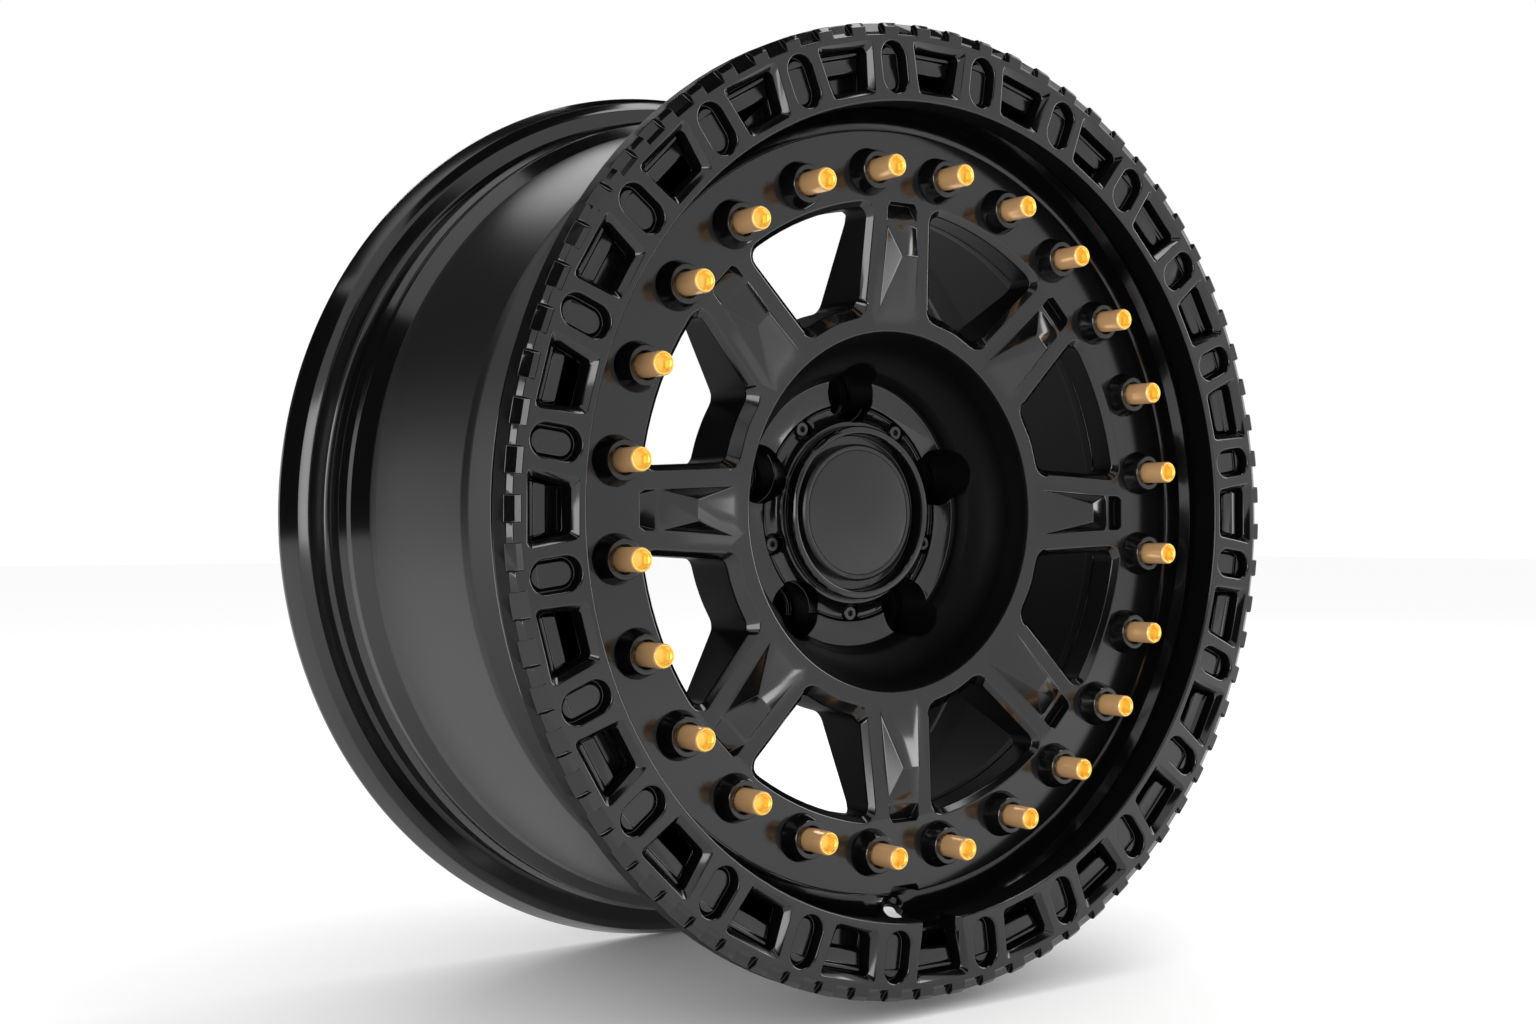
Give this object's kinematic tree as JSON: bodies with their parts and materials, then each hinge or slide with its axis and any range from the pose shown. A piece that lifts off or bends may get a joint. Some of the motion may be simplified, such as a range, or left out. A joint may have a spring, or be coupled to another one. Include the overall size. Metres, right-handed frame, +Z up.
{
  "type": "alloy wheel",
  "caption": "Deep-lipped off-road alloy wheel with bolted spoked centre, collared gold bolts, knurled guard ring with windows, hub bowl, nut pockets and screwed centre cap.",
  "frame": {"origin": "centre of the bounding box, on the wheel's axis, midway between the guard ring's face and the rear lip", "axes": "-Y is the street side, +Y the car side, along the wheel's axis; +Z is up, with the valve hole at the bottom"},
  "size_m": [0.501, 0.2476, 0.5008],
  "materials": {
    "gloss_black": "gloss black paint",
    "satin_black": "satin black paint",
    "gold_bolt": "satin copper-gold plating",
    "zinc_steel": "zinc plated",
    "black_steel": "black oxide",
    "black_plastic": "fine satin",
    "seal_rubber": "matt"
  },
  "bodies": {
    "root": {"inner_rim_half": "satin_black", "outer_rim_half": "gloss_black", "rim_seal": "seal_rubber", "guard_ring": "gloss_black", "ring_screws": "black_steel", "centre_disc": "gloss_black", "bolt_collars": "gloss_black", "assembly_bolts": "gold_bolt", "rear_washers": "zinc_steel", "rear_nuts": "zinc_steel", "cap_body": "gloss_black", "cap_inset": "black_plastic", "cap_screws": "black_steel"}
  },
  "joints": []
}
